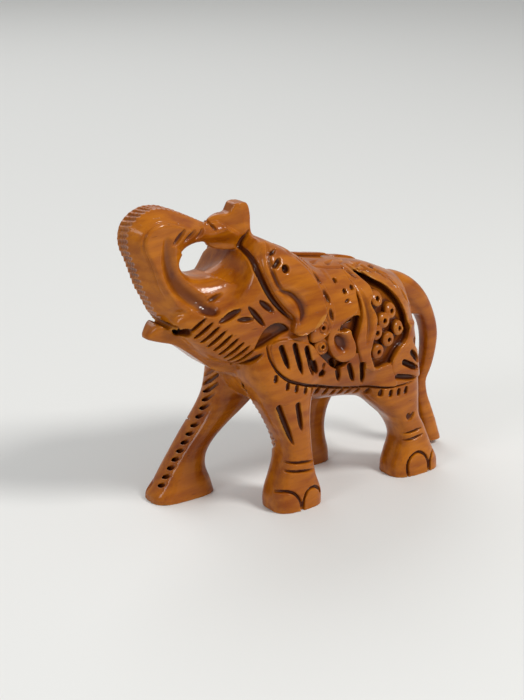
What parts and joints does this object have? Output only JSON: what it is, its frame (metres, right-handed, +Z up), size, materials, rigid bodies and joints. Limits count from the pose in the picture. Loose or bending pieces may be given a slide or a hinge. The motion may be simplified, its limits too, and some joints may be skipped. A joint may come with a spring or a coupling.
{
  "type": "carved elephant figurine",
  "caption": "Lacquered wooden elephant carved in mid-stride, its trunk curled back on the forehead and a carved cloth with flaps and ring beads on its back.",
  "frame": {"origin": "middle of the overall length and width, on the ground plane under the soles", "axes": "+Z up; the trunk points to -X and the tail to +X; the figure's left side faces -Y"},
  "size_m": [0.0908, 0.0342, 0.075],
  "materials": {
    "lacquered_wood": "clear gloss lacquer over orange-brown stained hardwood",
    "carved_cloth": "the same lacquered wood, darker in the carved recesses"
  },
  "bodies": {
    "root": {"barrel": "lacquered_wood", "cheek_comb_left": "lacquered_wood", "cheek_comb_right": "lacquered_wood", "chest": "lacquered_wood", "drape_left": "carved_cloth", "drape_right": "carved_cloth", "ear_left": "lacquered_wood", "ear_right": "lacquered_wood", "foreleg_left": "lacquered_wood", "foreleg_nails_left": "lacquered_wood", "foreleg_nails_right": "lacquered_wood", "foreleg_right": "lacquered_wood", "head": "lacquered_wood", "hem_border_left": "carved_cloth", "hem_border_right": "carved_cloth", "hindleg_left": "lacquered_wood", "hindleg_nails_left": "lacquered_wood", "hindleg_nails_right": "lacquered_wood", "hindleg_right": "lacquered_wood", "leaf_flap_left": "carved_cloth", "leaf_flap_right": "carved_cloth", "lower_lip": "lacquered_wood", "neck_band_left": "carved_cloth", "neck_band_right": "carved_cloth", "neck_beads_left": "carved_cloth", "neck_beads_right": "carved_cloth", "ring_beads_left": "carved_cloth", "ring_beads_right": "carved_cloth", "rump_border_left": "carved_cloth", "rump_border_right": "carved_cloth", "saddle_cloth": "carved_cloth", "tail": "lacquered_wood", "tail_tuft": "lacquered_wood", "trunk_curl": "lacquered_wood", "trunk_root": "lacquered_wood", "trunk_tip": "lacquered_wood"}
  },
  "joints": []
}
